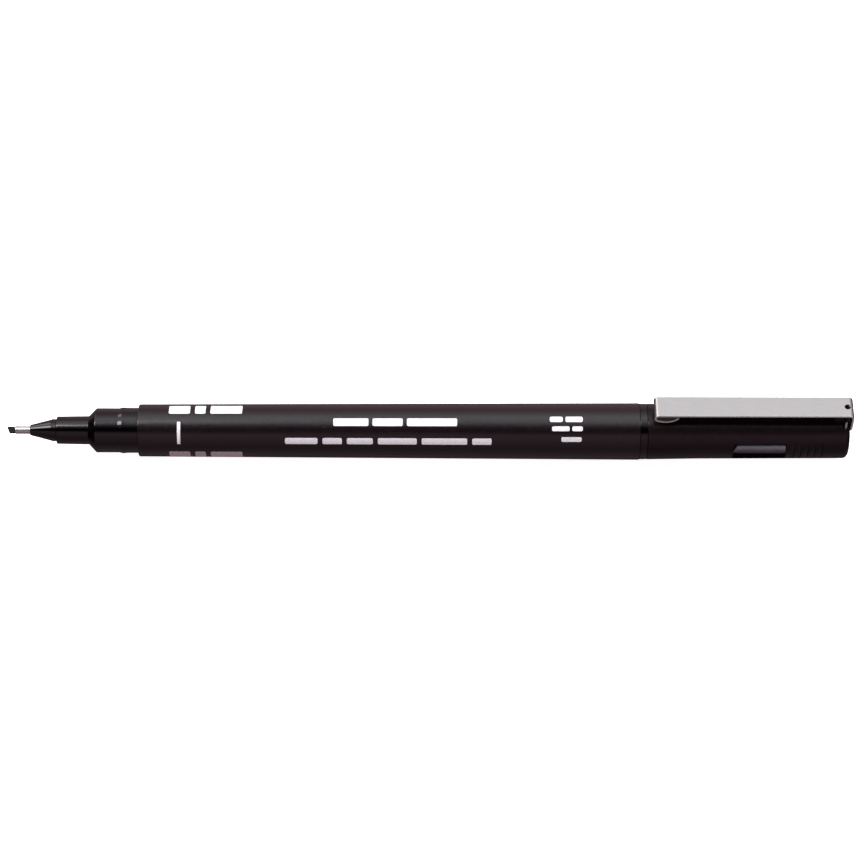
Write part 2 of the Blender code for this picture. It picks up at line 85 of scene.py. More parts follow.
# Outer radii.
NIB_RADIUS = 0.65
STEM_RADIUS = 0.36
FERRULE_RADIUS = 0.72
CONE_FRONT_RADIUS = 0.97
CONE_REAR_RADIUS = 1.99
COLLAR_FRONT = 8.30
COLLAR_RADIUS = 2.05
NECK_FRONT_RADIUS = 2.53
NECK_REAR_RADIUS = 2.61
SHOULDER_FRONT = 15.14
GRIP_FRONT = 16.54
GRIP_RADIUS = 4.07
SNAP_RING_RADIUS = 4.24
GRIP_REAR_RADIUS = 4.15
BARREL_FRONT_RADIUS = 4.81
BARREL_REAR_RADIUS = (BARREL_HIGH[2] - BARREL_LOW[2]) / 2 / MM
TAIL_COLLAR_RADIUS = 5.13
CAP_MOUTH_RADIUS = 5.13
CAP_WAIST_RADIUS = 4.97
CAP_END_RADIUS = 4.83
SNAP_RING_OFFSET = 2.93           # from the cap's mouth, at both ends of the pen
CAP_WAIST = CAP_MOUTH + 9.0
CAP_WAIST_ROUNDING = 8.0
CAP_RIM = CAP_END - 0.25
CAP_RIM_ROUNDING = 0.9
CAP_BOSS_HEIGHT = 0.08            # of the low round boss on the cap's end face
CAP_BOSS_RADIUS = 2.0
CAP_BOSS_FOOT_RADIUS = 3.0
PLUG_RADIUS = 4.30
SPIGOT_RADIUS = 4.12

# Bores and gaps.
PRESS_GAP = 0.05
FACE_GAP = 0.08
FERRULE_BORE_RADIUS = 0.42
HOLDER_REAR = 14.3
HOLDER_SPIGOT_RADIUS = 1.90
HOLDER_STEP = 9.1                 # where the ferrule's bore widens to the wick's
WICK_BORE = 1.10
SOCKET_REAR = 14.5
CHAMBER_FRONT = 17.5              # the section's bore widens to its chamber behind this
CHAMBER_FULL = 19.0
CHAMBER_RADIUS = 3.0
SECTION_REAR = 33.0
BARREL_BORE_RADIUS = 3.90
TAIL_BORE_FRONT = 107.5
PLUG_FRONT_RADIUS = 3.8
PLUG_HOLLOW_REAR = 122.5
PLUG_HOLLOW_RADIUS = 3.2
CAP_BORE_RADIUS = 4.35
CAP_GROOVE_DEPTH = 0.13           # snap groove in the cap's bore
CAP_INNER_RADIUS = 3.60
CAP_BORE_END = 152.0
LINER_STEP = 126.2

# Nib.
NIB_EDGE_SLANT = 0.515
NIB_EDGE_THICKNESS = 0.16
NIB_ROOT_THICKNESS = 1.0
NIB_TURN = math.radians(35)

# Grip on each side of the cap.
RECESS_FRONT = 132.6
RECESS_REAR = 143.0
RECESS_RAMP = 1.5
RECESS_FLOOR = 3.85
RECESS_HALF_WIDTH = 2.25
CAP_BRIM = 5.20
BAR_FRONT = 133.5
BAR_REAR = 142.82
BAR_RADIUS = 1.05
BAR_HEIGHT = 3.92                 # of the half-round bar's middle line
BAR_OFFSET = 0.75                 # of the bar's middle line towards the clip
BAR_SLANT = 0.55                  # how far the bar's front end leans back per unit of height
GROOVE_COUNT = 5
GROOVE_PITCH = 1.27
GROOVE_WIDTH = 0.70
GROOVE_FRONT = 143.9
GROOVE_FLOOR = 4.32

# Clip.
CLIP_THICKNESS = 0.40
CLIP_EDGE = 0.09                  # rounding of the strip's long edges
EDGE_FACING = 0.6                 # sideways part of the normal of a sheared edge
CLIP_REAR_BEND = 0.70
CLIP_HOOK_BEND = 0.55
CLIP_FRONT_BEND = 0.65
CLIP_HOOK_BOTTOM = 3.50
CLIP_HOOK_TOP = 6.00
CLIP_FRONT_DROP = 0.05
CLIP_FOOT_BEND = 0.80
CLIP_FOOT_TURN = math.radians(62)
CLIP_BOW_RADIUS = 2.97
CLIP_BOW_TURN = math.radians(80)
CLIP_HOLE_STATION = 153.75
CLIP_HOLE_RADIUS = 0.55
LIP_STATION = 154.2
SLOT_FRONT = 153.2
SLOT_FLOOR = 3.0
SLOT_HALF_WIDTH = 2.37
LIP_THICKNESS = 0.44
LIP_BOTTOM = 3.95
LIP_TOP = 4.30
LIP_HALF_WIDTH = 2.55
SEAT_FRONT = 151.5
SEAT_REAR = 153.1
SEAT_HALF_WIDTH = 1.50
SEAT_BOTTOM = 4.20
SEAT_GAP = 0.35
TONGUE_REAR = 154.15              # the seat reaches out under the clip's hole
TONGUE_BOTTOM = 6.35
TONGUE_HALF_WIDTH = 0.95

# Mesh density.
SEGMENTS = 192
SMALL_SEGMENTS = 96
FILLET_STEPS = 6
SUPPORT = 0.02
BEND_STEPS = 24
SHARP_ANGLE = math.radians(28)
ROD_STEPS = 64
CORNER_STEPS = 6                  # of a rounded corner of the print
SLIVER = 1e-5                     # edges shorter than this are dissolved after a boolean

# Print on the barrel. Angles are round the pen, as at the top of this file.
PRINT_PROUD = 0.010
PRINT_DEPTH = 0.030
PRINT_ANGLE_STEP = math.radians(2.0)
PRINT_CORNER = 0.28
CORNER_SHARE = 0.95               # most of a bar's half height or length that a corner takes
REPEAT = 120                      # degrees between the three copies of the size mark
SIZE_MARK = (30.1, 43.5, 94, 122, (2, 1, 3), 0.9)
SIZE_STROKE = (31.7, 32.3, 24, 74)
SIZE_STROKE_CORNER = 0.05
PRINT_LINES = (
    # front, rear, lower and upper angle, lengths of the words, gap between them
    (60.2, 82.8, 65, 82, (35, 30, 50), 0.75),
    (51.4, 89.1, 25.5, 39.5, (5, 3, 4, 6, 7, 3), 0.9),
    (99.7, 105.7, 74, 86, (3, 4), 0.5),
    (100.1, 105.7, 55, 65, (5, 3), 0.45),
    (101.8, 105.5, 33, 43, (4,), 0.4),
)


def fillet(before, corner, after, radius, steps=FILLET_STEPS):
    """Points of an arc that rounds a corner of an outline.

    An extra point on each straight side keeps that side's shading flat.
    """
    back = (Vector(before) - Vector(corner)).normalized()
    ahead = (Vector(after) - Vector(corner)).normalized()
    half_angle = back.angle(ahead) / 2
    bisector = (back + ahead).normalized()
    centre = Vector(corner) + bisector * (radius / math.sin(half_angle))
    start = Vector(corner) + back * (radius / math.tan(half_angle)) - centre
    end = Vector(corner) + ahead * (radius / math.tan(half_angle)) - centre
    sweep = start.angle(end)
    support = min(SUPPORT, radius / 10)
    points = [tuple(centre + start + back * support)]
    for step in range(steps + 1):
        share = step / steps
        spoke = start * math.sin((1 - share) * sweep) + end * math.sin(share * sweep)
        points.append(tuple(centre + spoke / math.sin(sweep)))
    points.append(tuple(centre + end + ahead * support))
    return points


def rounded_outline(corners):
    """Turn (station, radius[, rounding]) corners into plain outline points."""
    points = []
    for index, corner in enumerate(corners):
        if len(corner) == 2:
            points.append(corner)
            continue
        before = corners[index - 1][:2]
        after = corners[(index + 1) % len(corners)][:2]
        points.extend(fillet(before, corner[:2], after, corner[2]))
    return points


def turned(corners, segments=SEGMENTS):
    """Bmesh of a turned piece. Its outline ends on the axis, or is a closed loop."""
    outline = rounded_outline(corners)
    shape = bmesh.new()
    rings = []
    for station, radius in outline:
        if radius == 0:
            rings.append([shape.verts.new((0, 0, station))])
            continue
        ring = []
        for index in range(segments):
            angle = math.tau * index / segments
            ring.append(shape.verts.new(
                (radius * math.cos(angle), radius * math.sin(angle), station)))
        rings.append(ring)
    pairs = list(zip(rings, rings[1:]))
    if len(rings[0]) > 1 and len(rings[-1]) > 1:
        pairs.append((rings[-1], rings[0]))
    for first, second in pairs:
        for index in range(segments):
            following = (index + 1) % segments
            corner_verts = [first[index % len(first)], first[following % len(first)],
                            second[following % len(second)], second[index % len(second)]]
            face = list(dict.fromkeys(corner_verts))
            if len(face) > 2:
                shape.faces.new(face)
    bmesh.ops.recalc_face_normals(shape, faces=shape.faces)
    return shape


def box_shape(shape, corner, opposite, ramp=0.0):
    """Add a box to a bmesh. A ramp moves the inner edge of its front end back."""
    made = bmesh.ops.create_cube(shape, size=1.0)
    middle = (Vector(corner) + Vector(opposite)) / 2
    size = Vector(opposite) - Vector(corner)
    for vert in made["verts"]:
        is_front = vert.co.z < 0
        vert.co = middle + Vector(vert.co[i] * abs(size[i]) for i in range(3))
        if is_front and abs(vert.co.y) < abs(middle.y):
            vert.co.z += ramp
    return made["verts"]


def rod_shape(shape, radius, front, rear, centre, steps=ROD_STEPS):
    """Add a round rod along the pen to a bmesh, centred on (x, y)."""
    made = bmesh.ops.create_cone(
        shape, cap_ends=True, segments=steps, radius1=radius, radius2=radius, depth=rear - front)
    for vert in made["verts"]:
        vert.co += Vector((centre[0], centre[1], (front + rear) / 2))
    return made["verts"]


def temporary(shape):
    """Object that only takes part in a boolean."""
    bmesh.ops.recalc_face_normals(shape, faces=shape.faces)
    mesh = bpy.data.meshes.new("temporary")
    shape.to_mesh(mesh)
    shape.free()
    thing = bpy.data.objects.new("temporary", mesh)
    bpy.context.scene.collection.objects.link(thing)
    return thing


def carved(shape, *steps):
    """Bmesh after a run of (operation, other bmesh) booleans."""
    thing = temporary(shape)
    others = []
    for operation, other in steps:
        others.append(temporary(other))
        modifier = thing.modifiers.new(operation.lower(), "BOOLEAN")
        modifier.operation = operation
        modifier.solver = "EXACT"
        modifier.object = others[-1]
    graph = bpy.context.evaluated_depsgraph_get()
    result = bmesh.new()
    result.from_object(thing, graph)
    for spare in [thing, *others]:
        mesh = spare.data
        bpy.data.objects.remove(spare, do_unlink=True)
        bpy.data.meshes.remove(mesh)
    bmesh.ops.dissolve_degenerate(result, dist=SLIVER, edges=result.edges)
    return result


def piece(name, shape, material, body, node=None, second_material=None):
    """Put a finished bmesh into the scene as a piece of the pen."""
    bmesh.ops.transform(shape, matrix=PEN_FRAME, verts=shape.verts)
    bmesh.ops.recalc_face_normals(shape, faces=shape.faces)
    mesh = bpy.data.meshes.new(name)
    shape.to_mesh(mesh)
    shape.free()
    mesh.shade_smooth()
    mesh.set_sharp_from_angle(angle=SHARP_ANGLE)
    mesh.materials.append(material)
    if second_material:
        mesh.materials.append(second_material)
    thing = bpy.data.objects.new(name, mesh)
    bpy.context.scene.collection.objects.link(thing)
    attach(thing, body)
    if node:
        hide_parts(node)
    return thing


# Grain of the materials: sizes and depths in millimetres.
BEVEL_SAMPLES = 6
MOTTLE_SIZE = 2.2
SHEEN_SIZE = 0.9
SHEEN_VARIATION = 0.03
MARK_SIZE = 0.10                  # handling marks, drawn out along the pen
MARK_STRETCH = (60, 1, 1)
MARK_ROUGHNESS = 0.07
WAVE_SIZE = 3.5                   # slow unevenness of moulded plastic
WAVE_DEPTH = 0.004
METAL_CLOUD_SIZE = 1.6
METAL_CLOUD_VARIATION = 0.04
METAL_STREAK_ROUGHNESS = 0.06
FIBRE_VARIATION = 0.08
INK_COVER_SIZE = 0.35
INK_THIN = (0.70, 0.71, 0.74)
INK_FULL = (0.86, 0.87, 0.90)
INK_SHEEN_SIZE = 0.12
INK_ROUGHNESS = (0.42, 0.60)
INK_GRAIN_SIZE = 0.08
INK_GRAIN_DEPTH = 0.0015


class Nodes:
    """Short calls for building one material's node tree."""

    def __init__(self, name):
        self.material = bpy.data.materials.new(name)
        self.material.use_nodes = True
        self.tree = self.material.node_tree
        self.shader = self.tree.nodes["Principled BSDF"]
        self.place = self.tree.nodes.new("ShaderNodeTexCoord").outputs["Object"]

    def set(self, **values):
        for name, value in values.items():
            self.shader.inputs[name.replace("_", " ")].default_value = value

    def link(self, output, socket):
        self.tree.links.new(output, self.shader.inputs[socket])

    def noise(self, size, stretch=(1, 1, 1), detail=4.0, roughness=0.55):
        """Noise whose grains are about size millimetres, drawn out by stretch."""
        mapping = self.tree.nodes.new("ShaderNodeMapping")
        mapping.inputs["Scale"].default_value = [1 / (size * MM * part) for part in stretch]
        texture = self.tree.nodes.new("ShaderNodeTexNoise")
        texture.inputs["Scale"].default_value = 1.0
        texture.inputs["Detail"].default_value = detail
        texture.inputs["Roughness"].default_value = roughness
        self.tree.links.new(self.place, mapping.inputs["Vector"])
        self.tree.links.new(mapping.outputs["Vector"], texture.inputs["Vector"])
        return texture.outputs["Fac"]

    def ramp(self, factor, *stops):
        """Colour ramp over (position, colour) stops."""
        node = self.tree.nodes.new("ShaderNodeValToRGB")
        elements = node.color_ramp.elements
        while len(elements) < len(stops):
            elements.new(0.5)
        for element, (position, colour) in zip(elements, stops):
            element.position = position
            element.color = (*colour, 1.0)
        self.tree.links.new(factor, node.inputs["Fac"])
        return node.outputs["Color"]

    def spread(self, factor, low, high, start=0.3, end=0.7):
        """Map a noise factor from start..end to low..high."""
        node = self.tree.nodes.new("ShaderNodeMapRange")
        for name, value in (("From Min", start), ("From Max", end),
                            ("To Min", low), ("To Max", high)):
            node.inputs[name].default_value = value
        self.tree.links.new(factor, node.inputs["Value"])
        return node.outputs["Result"]

    def total(self, first, second):
        node = self.tree.nodes.new("ShaderNodeMath")
        node.operation = "ADD"
        self.tree.links.new(first, node.inputs[0])
        self.tree.links.new(second, node.inputs[1])
        return node.outputs["Value"]

    def bump(self, *layers, edge=0.0):
        """Bump from (height, depth in millimetres) layers, over softened edges."""
        normal = None
        if edge:
            bevel = self.tree.nodes.new("ShaderNodeBevel")
            bevel.samples = BEVEL_SAMPLES
            bevel.inputs["Radius"].default_value = edge * MM
            normal = bevel.outputs["Normal"]
        for height, depth in layers:
            node = self.tree.nodes.new("ShaderNodeBump")
            node.inputs["Strength"].default_value = 1.0
            node.inputs["Distance"].default_value = depth * MM
            self.tree.links.new(height, node.inputs["Height"])
            if normal:
                self.tree.links.new(normal, node.inputs["Normal"])
            normal = node.outputs["Normal"]
        self.link(normal, "Normal")


def plastic(name, dark, light, roughness, grain=0.06, depth=0.0006, ior=1.48, edge=0.0):
    """Moulded plastic: mottled colour, fine grain, handling marks along the pen."""
    nodes = Nodes(name)
    nodes.set(IOR=ior)
    mottle = nodes.noise(MOTTLE_SIZE)
    nodes.link(nodes.ramp(mottle, (0.30, dark), (0.70, light)), "Base Color")
    marks = nodes.noise(MARK_SIZE, stretch=MARK_STRETCH, detail=3.0, roughness=0.7)
    worn = nodes.spread(marks, 0.0, MARK_ROUGHNESS, start=0.58, end=0.72)
    even = nodes.spread(nodes.noise(SHEEN_SIZE), roughness - SHEEN_VARIATION,
                        roughness + SHEEN_VARIATION)
    nodes.link(nodes.total(even, worn), "Roughness")
    nodes.bump((nodes.noise(grain, detail=2.0), depth),
               (nodes.noise(WAVE_SIZE, detail=1.0), WAVE_DEPTH), edge=edge)
    return nodes.material


def brushed_metal(name, dark, light, roughness, stretch, size=0.05, depth=0.0009, edge=0.0):
    """Metal with a fine brushed line structure and a faint uneven sheen."""
    nodes = Nodes(name)
    nodes.set(Metallic=1.0)
    lines = nodes.noise(size, stretch=stretch, detail=3.0, roughness=0.6)
    nodes.link(nodes.ramp(lines, (0.30, dark), (0.70, light)), "Base Color")
    cloud = nodes.spread(nodes.noise(METAL_CLOUD_SIZE), roughness - METAL_CLOUD_VARIATION,
                         roughness + METAL_CLOUD_VARIATION)
    streak = nodes.spread(lines, 0.0, METAL_STREAK_ROUGHNESS)
    nodes.link(nodes.total(cloud, streak), "Roughness")
    nodes.bump((lines, depth), edge=edge)
    return nodes.material


def fibre(name, dark, light, roughness, stretch, size=0.05, depth=0.01, gloss=0.5):
    """Bonded fibre: strands that run along the piece."""
    nodes = Nodes(name)
    nodes.set(Specular_IOR_Level=gloss)
    strands = nodes.noise(size, stretch=stretch, detail=5.0, roughness=0.65)
    nodes.link(nodes.ramp(strands, (0.32, dark), (0.68, light)), "Base Color")
    nodes.link(nodes.spread(strands, roughness + FIBRE_VARIATION, roughness - FIBRE_VARIATION),
               "Roughness")
    nodes.bump((strands, depth))
    return nodes.material


def printed_ink(name):
    """Screen-printed white ink, slightly thin and worn in places."""
    nodes = Nodes(name)
    cover = nodes.noise(INK_COVER_SIZE, detail=5.0, roughness=0.6)
    nodes.link(nodes.ramp(cover, (0.28, INK_THIN), (0.55, INK_FULL)), "Base Color")
    nodes.link(nodes.spread(nodes.noise(INK_SHEEN_SIZE), *INK_ROUGHNESS), "Roughness")
    nodes.bump((nodes.noise(INK_GRAIN_SIZE, detail=3.0), INK_GRAIN_DEPTH))
    return nodes.material


satin_black = plastic("satin_black_plastic", (0.0050, 0.0022, 0.0034), (0.0066, 0.0032, 0.0046),
                      0.23)
cap_black = plastic("cap_black_plastic", (0.0068, 0.0036, 0.0046), (0.0086, 0.0048, 0.0060),
                    0.24, ior=1.32, edge=0.06)
# Grey for the half-round bars on the cap. It is lighter than the cap's black so the bars' tops
# read as lit: a painted highlight in the colour.
bar_highlight_grey = plastic("grip_bar_painted_highlight", (0.085, 0.082, 0.100), (0.112, 0.108, 0.130), 0.34,
                    edge=0.05)
gloss_black = plastic("gloss_black_plastic", (0.0005, 0.0001, 0.0004), (0.0009, 0.0003, 0.0007),
                      0.11, grain=0.12, depth=0.0003)
ferrule_metal = brushed_metal("ferrule_steel", (0.46, 0.53, 0.50), (0.60, 0.69, 0.65), 0.24,
                              stretch=(1, 14, 14))
# Steel for the clip's sheared side edges. The rough finish is the edge's own; the near-white
# brightness, well above the face's steel, is a painted highlight.
clip_edge_painted_glint = brushed_metal("clip_sheared_edge_painted_glint", (0.82, 0.94, 0.86), (0.90, 1.00, 0.93), 0.62,
                          stretch=(3, 1, 1), depth=0.002)
clip_metal = brushed_metal("clip_steel", (0.390, 0.389, 0.379), (0.438, 0.437, 0.426), 0.27,
                           stretch=(50, 1, 1), depth=0.0005, edge=0.04)
nib_fibre = fibre("inked_nib_fibre", (0.003, 0.0015, 0.002), (0.018, 0.011, 0.013), 0.66,
                  stretch=(14, 1, 1), size=0.04, depth=0.008, gloss=0.25)
wick_fibre = fibre("wick_fibre", (0.03, 0.03, 0.035), (0.09, 0.09, 0.10), 0.8,
                   stretch=(20, 1, 1))
reservoir_fibre = fibre("reservoir_fibre", (0.015, 0.015, 0.02), (0.06, 0.06, 0.07), 0.9,
                        stretch=(25, 1, 1), size=0.08, depth=0.03)
white_ink = printed_ink("print_ink")
film = plastic("clear_film", (0.66, 0.68, 0.71), (0.78, 0.80, 0.83), 0.20, grain=0.2)
liner_white = plastic("liner_plastic", (0.62, 0.62, 0.60), (0.72, 0.72, 0.70), 0.42)


def make_nib():
    """Chisel-cut rod: thinned from both sides and cut off at a slant."""
    head_rear = FERRULE_FRONT - PRESS_GAP
    rod = turned([
        (0.0, 0.0),
        (0.0, NIB_RADIUS),
        (head_rear, NIB_RADIUS, 0.1),
        (head_rear, STEM_RADIUS),
        (STEM_REAR, STEM_RADIUS),
        (STEM_REAR, 0.0),
    ], SMALL_SEGMENTS)
    reach = 2.0
    tilt = math.atan((NIB_ROOT_THICKNESS - NIB_EDGE_THICKNESS) / 2 / head_rear)
    steps = []
    for side in (-1, 1):
        flank = bmesh.new()
        verts = box_shape(flank, (0.0, -reach, -reach), (reach, reach, reach))
        turn = Matrix.Rotation(math.pi if side < 0 else 0.0, 4, "Z")
        place = Matrix.Translation((side * NIB_EDGE_THICKNESS / 2, 0, 0))
        matrix = place @ turn @ Matrix.Rotation(tilt, 4, "Y")
        bmesh.ops.transform(flank, matrix=matrix, verts=verts)
        steps.append(("DIFFERENCE", flank))
    slant = bmesh.new()
    verts = box_shape(slant, (-reach, -reach, -reach), (reach, reach, 0.0))
    lean = Matrix.Rotation(math.atan(NIB_EDGE_SLANT / (2 * NIB_RADIUS)), 4, "X")
    bmesh.ops.transform(slant, matrix=Matrix.Translation((0, -NIB_RADIUS, 0)) @ lean, verts=verts)
    steps.append(("DIFFERENCE", slant))
    nib = carved(rod, *steps)
    bmesh.ops.transform(nib, matrix=Matrix.Rotation(NIB_TURN, 4, "Z"), verts=nib.verts)
    piece("chisel_nib", nib, nib_fibre, "pen", "nib")


def make_front():
    """Ferrule, nib holder and section."""
    piece("nib_ferrule", turned([
        (FERRULE_FRONT, FERRULE_BORE_RADIUS),
        (FERRULE_FRONT, FERRULE_RADIUS, 0.08),
        (FERRULE_REAR, FERRULE_RADIUS),
        (FERRULE_REAR, FERRULE_BORE_RADIUS),
    ], SMALL_SEGMENTS), ferrule_metal, "pen", "ferrule")
    ferrule_bore = FERRULE_RADIUS + PRESS_GAP
    piece("nib_cone", turned([
        (CONE_FRONT, ferrule_bore),
        (CONE_FRONT, CONE_FRONT_RADIUS, 0.12),
        (COLLAR_FRONT - 0.10, CONE_REAR_RADIUS - 0.02),
        (COLLAR_FRONT - 0.02, CONE_REAR_RADIUS - 0.05),
        (COLLAR_FRONT, COLLAR_RADIUS, 0.02),
        (NECK_FRONT - FACE_GAP, COLLAR_RADIUS, 0.05),
        (NECK_FRONT - FACE_GAP, HOLDER_SPIGOT_RADIUS),
        (HOLDER_REAR, HOLDER_SPIGOT_RADIUS, 0.15),
        (HOLDER_REAR, WICK_BORE),
        (HOLDER_STEP, WICK_BORE),
        (HOLDER_STEP, ferrule_bore),
    ]), gloss_black, "pen", "nib_holder")
    ring = BARREL_FRONT - SNAP_RING_OFFSET
    socket = HOLDER_SPIGOT_RADIUS + PRESS_GAP
    spigot = BARREL_BORE_RADIUS - PRESS_GAP
    wick_hole = WICK_BORE + PRESS_GAP
    piece("front_section", turned([
        (NECK_FRONT, socket),
        (NECK_FRONT, NECK_FRONT_RADIUS, 0.14),
        (SHOULDER_FRONT, NECK_REAR_RADIUS, 0.10),
        (GRIP_FRONT, GRIP_RADIUS, 0.22),
        (ring - 0.70, GRIP_RADIUS, 0.20),
        (ring, SNAP_RING_RADIUS, 0.60),
        (ring + 0.70, GRIP_REAR_RADIUS, 0.20),
        (BARREL_FRONT - FACE_GAP, GRIP_REAR_RADIUS),
        (BARREL_FRONT - FACE_GAP, spigot),
        (SECTION_REAR, spigot, 0.25),
        (SECTION_REAR, CHAMBER_RADIUS),
        (CHAMBER_FULL, CHAMBER_RADIUS),
        (CHAMBER_FRONT, wick_hole),
        (SOCKET_REAR, wick_hole),
        (SOCKET_REAR, socket),
    ]), gloss_black, "pen", "section")


def make_barrel():
    """Barrel tube, and the plug that closes it."""
    piece("barrel_tube", turned([
        (BARREL_FRONT, BARREL_BORE_RADIUS),
        (BARREL_FRONT, BARREL_FRONT_RADIUS, 0.22),
        (BARREL_REAR, BARREL_REAR_RADIUS, 0.10),
        (BARREL_REAR, CAP_BORE_RADIUS),
        (TAIL_BORE_FRONT, CAP_BORE_RADIUS),
        (TAIL_BORE_FRONT - 0.5, BARREL_BORE_RADIUS),
    ]), satin_black, "pen", "barrel")
    ring = CAP_MOUTH + SNAP_RING_OFFSET
    piece("tail_collar_plug", turned([
        (PLUG_HOLLOW_REAR, 0.0),
        (PLUG_HOLLOW_REAR, PLUG_HOLLOW_RADIUS),
        (PLUG_FRONT, PLUG_HOLLOW_RADIUS),
        (PLUG_FRONT, PLUG_FRONT_RADIUS),
        (TAIL_BORE_FRONT - 0.4, PLUG_FRONT_RADIUS),
        (TAIL_BORE_FRONT + 0.5, PLUG_RADIUS),
        (BARREL_REAR + FACE_GAP, PLUG_RADIUS),
        (BARREL_REAR + FACE_GAP, TAIL_COLLAR_RADIUS, 0.05),
        (CAP_MOUTH - FACE_GAP, TAIL_COLLAR_RADIUS - 0.02, 0.05),
        (CAP_MOUTH - FACE_GAP, SPIGOT_RADIUS),
        (ring - 0.5, SPIGOT_RADIUS),
        (ring, SNAP_RING_RADIUS, 0.30),
        (ring + 0.5, SPIGOT_RADIUS),
        (SPIGOT_REAR, SPIGOT_RADIUS, 0.3),
        (SPIGOT_REAR, 0.0),
    ]), gloss_black, "pen", "tail_plug")


def make_cap():
    """Outer cap: grips on both sides, the clip's seat and slot, and the bore."""
    outside = turned([
        (CAP_MOUTH, 0.0),
        (CAP_MOUTH, CAP_MOUTH_RADIUS, 0.12),
        (CAP_WAIST, CAP_WAIST_RADIUS, CAP_WAIST_ROUNDING),
        (CAP_RIM, CAP_END_RADIUS, CAP_RIM_ROUNDING),
        (CAP_END - CAP_BOSS_HEIGHT, CAP_BOSS_FOOT_RADIUS),
        (CAP_END, CAP_BOSS_RADIUS),
        (CAP_END, 0.0),
    ])
    beyond = 8.0
    recesses = bmesh.new()
    grooves = bmesh.new()
    bars = bmesh.new()
    for side in (-1, 1):
        box_shape(recesses, (-RECESS_HALF_WIDTH, side * RECESS_FLOOR, RECESS_FRONT),
                  (RECESS_HALF_WIDTH, side * CAP_BRIM, RECESS_REAR), ramp=RECESS_RAMP)
        for index in range(GROOVE_COUNT):
            front = GROOVE_FRONT + index * GROOVE_PITCH
            box_shape(grooves, (-RECESS_HALF_WIDTH, side * GROOVE_FLOOR, front),
                      (RECESS_HALF_WIDTH, side * CAP_BRIM, front + GROOVE_WIDTH))
        middle = (BAR_OFFSET, side * BAR_HEIGHT)
        for vert in rod_shape(bars, BAR_RADIUS, BAR_FRONT, BAR_REAR, middle):
            if vert.co.z < BAR_FRONT + BAR_RADIUS:
                vert.co.z += BAR_SLANT * (vert.co.x - BAR_OFFSET)
    # The bars take the cap's second material, the lighter grey with the painted highlight.
    for face in bars.faces:
        face.material_index = 1
    slot = bmesh.new()
    box_shape(slot, (SLOT_FLOOR, -SLOT_HALF_WIDTH, SLOT_FRONT),
              (beyond, SLOT_HALF_WIDTH, CAP_END + beyond))
    seat = bmesh.new()
    seat_top = CLIP_HEIGHT - CLIP_THICKNESS - SEAT_GAP
    box_shape(seat, (SEAT_BOTTOM, -SEAT_HALF_WIDTH, SEAT_FRONT),
              (seat_top, SEAT_HALF_WIDTH, SEAT_REAR))
    tongue = bmesh.new()
    box_shape(tongue, (TONGUE_BOTTOM, -TONGUE_HALF_WIDTH, SEAT_REAR - 0.5),
              (seat_top, TONGUE_HALF_WIDTH, TONGUE_REAR))
    lip = bmesh.new()
    lip_half = LIP_THICKNESS / 2
    box_shape(lip, (LIP_BOTTOM, -LIP_HALF_WIDTH, LIP_STATION - lip_half),
              (LIP_TOP, LIP_HALF_WIDTH, LIP_STATION + lip_half))
    bore_groove = CAP_MOUTH + SNAP_RING_OFFSET
    bore = turned([
        (CAP_MOUTH - 1.0, 0.0),
        (CAP_MOUTH - 1.0, CAP_BORE_RADIUS),
        (bore_groove - 0.6, CAP_BORE_RADIUS),
        (bore_groove - 0.25, CAP_BORE_RADIUS + CAP_GROOVE_DEPTH),
        (bore_groove + 0.25, CAP_BORE_RADIUS + CAP_GROOVE_DEPTH),
        (bore_groove + 0.6, CAP_BORE_RADIUS),
        (LINER_STEP, CAP_BORE_RADIUS),
        (LINER_STEP + 0.5, CAP_INNER_RADIUS),
        (CAP_BORE_END, CAP_INNER_RADIUS, 0.5),
        (CAP_BORE_END, 0.0),
    ], SMALL_SEGMENTS)
    shape = carved(
        outside,
        ("DIFFERENCE", recesses),
        ("UNION", bars),
        ("DIFFERENCE", grooves),
        ("DIFFERENCE", slot),
        ("UNION", seat),
        ("UNION", tongue),
        ("UNION", lip),
        ("DIFFERENCE", bore))
    piece("outer_cap", shape, cap_black, "cap", "cap", second_material=bar_highlight_grey)


def strip_path(start, heading, bends):
    """Middle line of a bent strip: (straight length, turn, bend radius) in order.

    Returns (place, heading) pairs. A place is (height, station).
    """
    place = Vector(start)
    points = [(place.copy(), heading)]
    for length, turn, radius in bends:
        place = place + length * Vector((math.sin(heading), math.cos(heading)))
        if length > 0:
            points.append((place.copy(), heading))
        centre = place + radius * Vector((math.cos(heading), -math.sin(heading)))
        for step in range(1, BEND_STEPS + 1):
            angle = heading - turn * step / BEND_STEPS
            spoke = radius * Vector((math.cos(angle), -math.sin(angle)))
            points.append((centre - spoke, angle))
        place = points[-1][0]
        heading -= turn
    return points


def strip_section():
    """Rounded-off rectangle across the strip: (across, outward) points."""
    half_width = CLIP_WIDTH / 2
    half_thickness = CLIP_THICKNESS / 2
    corners = [(-half_width, -half_thickness), (half_width, -half_thickness),
               (half_width, half_thickness), (-half_width, half_thickness)]
    points = []
    for index, corner in enumerate(corners):
        points += fillet(corners[index - 1], corner, corners[(index + 1) % 4], CLIP_EDGE, 4)
    return points


